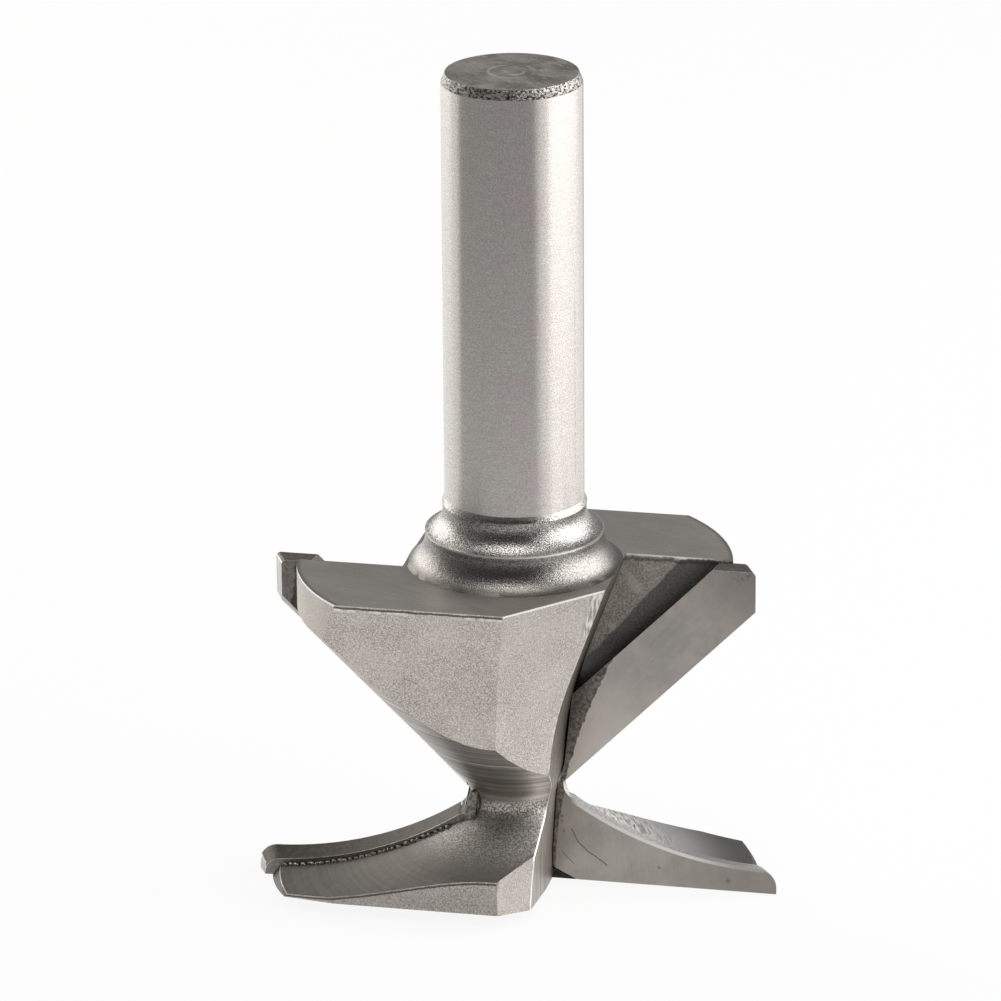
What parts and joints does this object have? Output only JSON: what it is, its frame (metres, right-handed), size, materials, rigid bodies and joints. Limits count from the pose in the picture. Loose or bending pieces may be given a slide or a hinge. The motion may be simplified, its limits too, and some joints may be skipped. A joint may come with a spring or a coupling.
{
  "type": "two-flute bevel and cove router bit",
  "caption": "Router bit with a straight shank, bevel cutters above a narrow neck and hollow-ground cutters below, on a milled steel body with brazed carbide plates.",
  "frame": {"origin": "on the bit's axis, in the plane of the bottom cutting corners", "axes": "+Z along the axis from the cutting end to the shank; +X along one wing, whose rake face looks towards -Y"},
  "size_m": [0.0482, 0.0294, 0.0777],
  "materials": {
    "steel": "ground shank, blasted body",
    "carbide": "fine ground, satin",
    "braze": "dull, as brazed"
  },
  "bodies": {
    "root": {"steel_body": "steel", "upper_tip_a": "carbide", "upper_tip_b": "carbide", "lower_tip_a": "carbide", "lower_tip_b": "carbide", "upper_braze_a": "braze", "upper_braze_b": "braze", "lower_braze_a": "braze", "lower_braze_b": "braze"}
  },
  "joints": []
}
